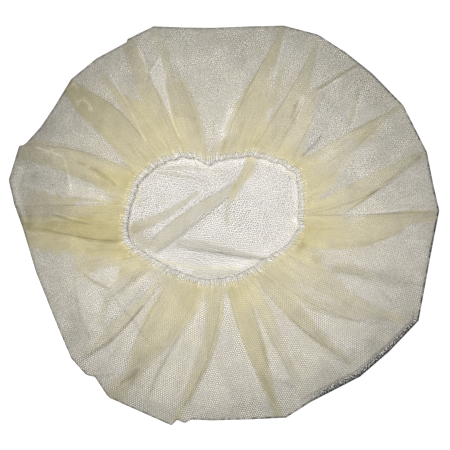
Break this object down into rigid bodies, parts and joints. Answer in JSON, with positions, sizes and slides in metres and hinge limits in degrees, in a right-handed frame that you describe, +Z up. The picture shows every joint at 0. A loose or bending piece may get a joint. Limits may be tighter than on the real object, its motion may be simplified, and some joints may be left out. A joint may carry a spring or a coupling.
{
  "type": "bouffant cap",
  "caption": "Round bouffant cap of thin pleated nonwoven cloth, gathered to an elastic hem, lying flat with its opening up.",
  "frame": {"origin": "centre of the lying cap's footprint, on the surface that it lies on", "axes": "+Z up, out of the opening; +X along the opening's longer side, the picture's right; +Y the picture's top"},
  "size_m": [0.3436, 0.3172, 0.021],
  "materials": {
    "cloth": "matt, thin, pale yellow nonwoven with fine bonding dots",
    "elastic": "matt off-white woven elastic under overlock thread"
  },
  "bodies": {
    "root": {"cap_cloth": "cloth", "elastic_band": "elastic"}
  },
  "joints": []
}
